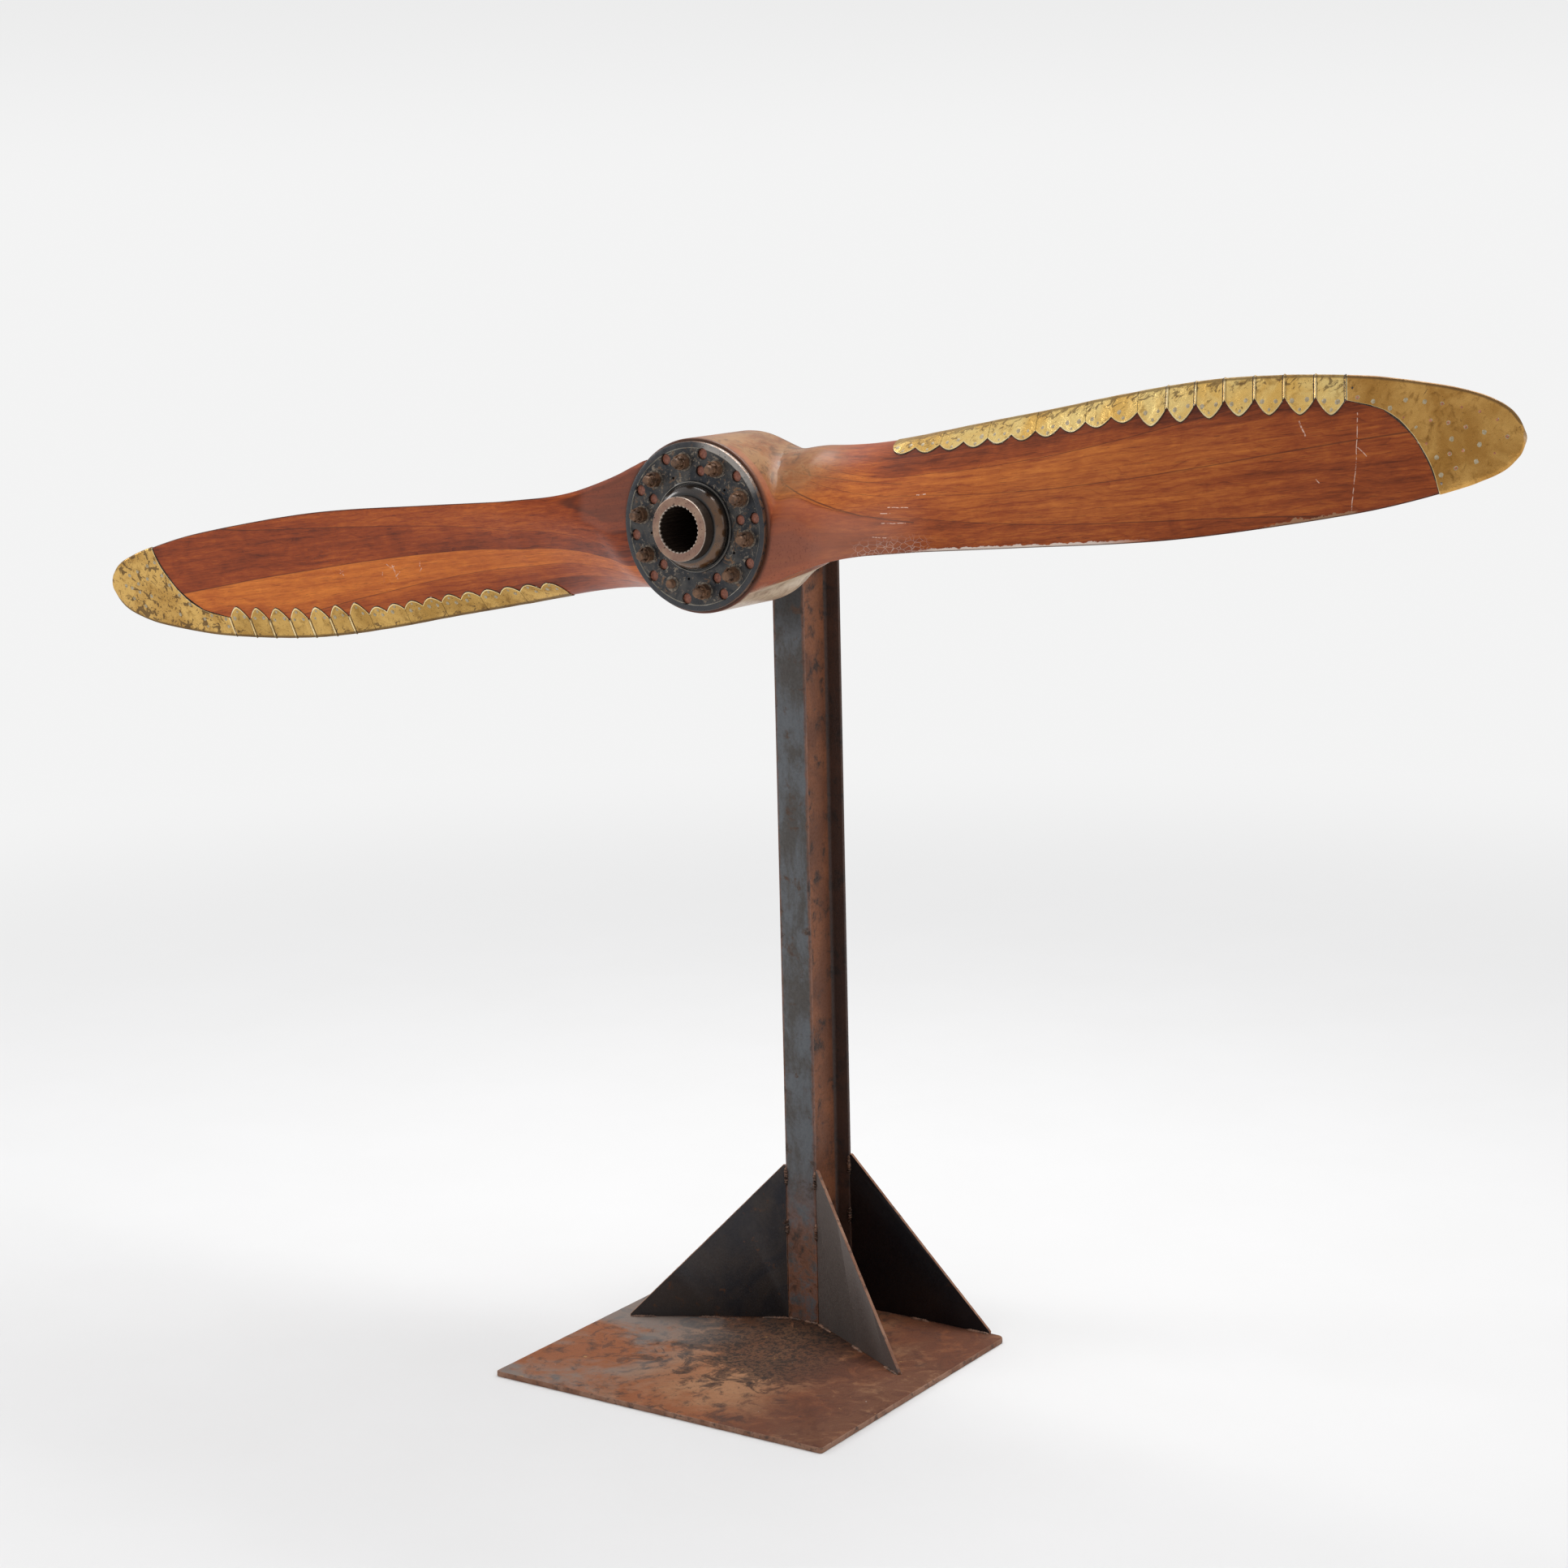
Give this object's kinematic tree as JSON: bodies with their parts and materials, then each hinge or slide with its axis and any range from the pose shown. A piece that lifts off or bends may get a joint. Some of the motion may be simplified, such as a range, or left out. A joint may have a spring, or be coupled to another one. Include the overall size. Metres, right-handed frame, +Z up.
{
  "type": "aircraft propeller on display stand",
  "caption": "Antique wooden aircraft propeller with brass-sheathed leading edges and a drilled, splined steel hub, turning on a stub shaft at the top of a welded steel column stand.",
  "frame": {"origin": "middle of the base plate's underside, on the floor", "axes": "+Z up, +X along the plate's wide side and near the blades' line, -Y out of the hub's nose"},
  "size_m": [2.9096, 0.614, 1.7911],
  "materials": {
    "varnished_wood": "aged glossy varnish over laminated walnut and mahogany",
    "aged_brass": "patinated sheet brass with dark spots",
    "oiled_steel": "dark oiled steel",
    "worn_steel": "pale worn steel",
    "rusty_fastenings": "rusty and greasy",
    "rusty_plate": "heavy brown rust",
    "rolled_steel": "mill scale with brown rust",
    "gusset_steel": "blue-black mill scale with light rusty edges"
  },
  "bodies": {
    "stand": {"base_plate": "rusty_plate", "column": "rolled_steel", "gusset_front_left": "gusset_steel", "gusset_front_right": "gusset_steel", "gusset_rear_left": "gusset_steel", "gusset_rear_right": "gusset_steel", "head_plate": "rolled_steel", "spindle": "oiled_steel"},
    "propeller": {"wooden_propeller": "varnished_wood", "front_hub_flange": "oiled_steel", "rear_hub_flange": "oiled_steel", "hub_barrel": "worn_steel", "hub_bolt_01": "rusty_fastenings", "hub_bolt_02": "rusty_fastenings", "hub_bolt_03": "rusty_fastenings", "hub_bolt_04": "rusty_fastenings", "hub_bolt_05": "rusty_fastenings", "hub_bolt_06": "rusty_fastenings", "hub_bolt_07": "rusty_fastenings", "hub_bolt_08": "rusty_fastenings", "hub_bolt_09": "rusty_fastenings", "hub_bolt_10": "rusty_fastenings", "castle_nut_01": "rusty_fastenings", "castle_nut_02": "rusty_fastenings", "castle_nut_03": "rusty_fastenings", "castle_nut_04": "rusty_fastenings", "castle_nut_05": "rusty_fastenings", "castle_nut_06": "rusty_fastenings", "castle_nut_08": "rusty_fastenings", "castle_nut_09": "rusty_fastenings", "castle_nut_10": "rusty_fastenings", "edge_brass_right_1": "aged_brass", "edge_brass_right_2": "aged_brass", "edge_brass_right_3": "aged_brass", "edge_brass_right_4": "aged_brass", "edge_brass_right_5": "aged_brass", "edge_brass_left_1": "aged_brass", "edge_brass_left_2": "aged_brass", "edge_brass_left_3": "aged_brass", "edge_brass_left_4": "aged_brass", "edge_brass_left_5": "aged_brass", "ribbed_brass_right": "aged_brass", "ribbed_brass_left": "aged_brass", "tip_brass_right": "aged_brass", "tip_brass_left": "aged_brass"}
  },
  "joints": [
    {"name": "propeller_spin", "type": "hinge", "parent": "stand", "child": "propeller", "pos_m": [-0.0087, 0, 1.5222], "axis": [0, -1, 0], "continuous": true}
  ]
}
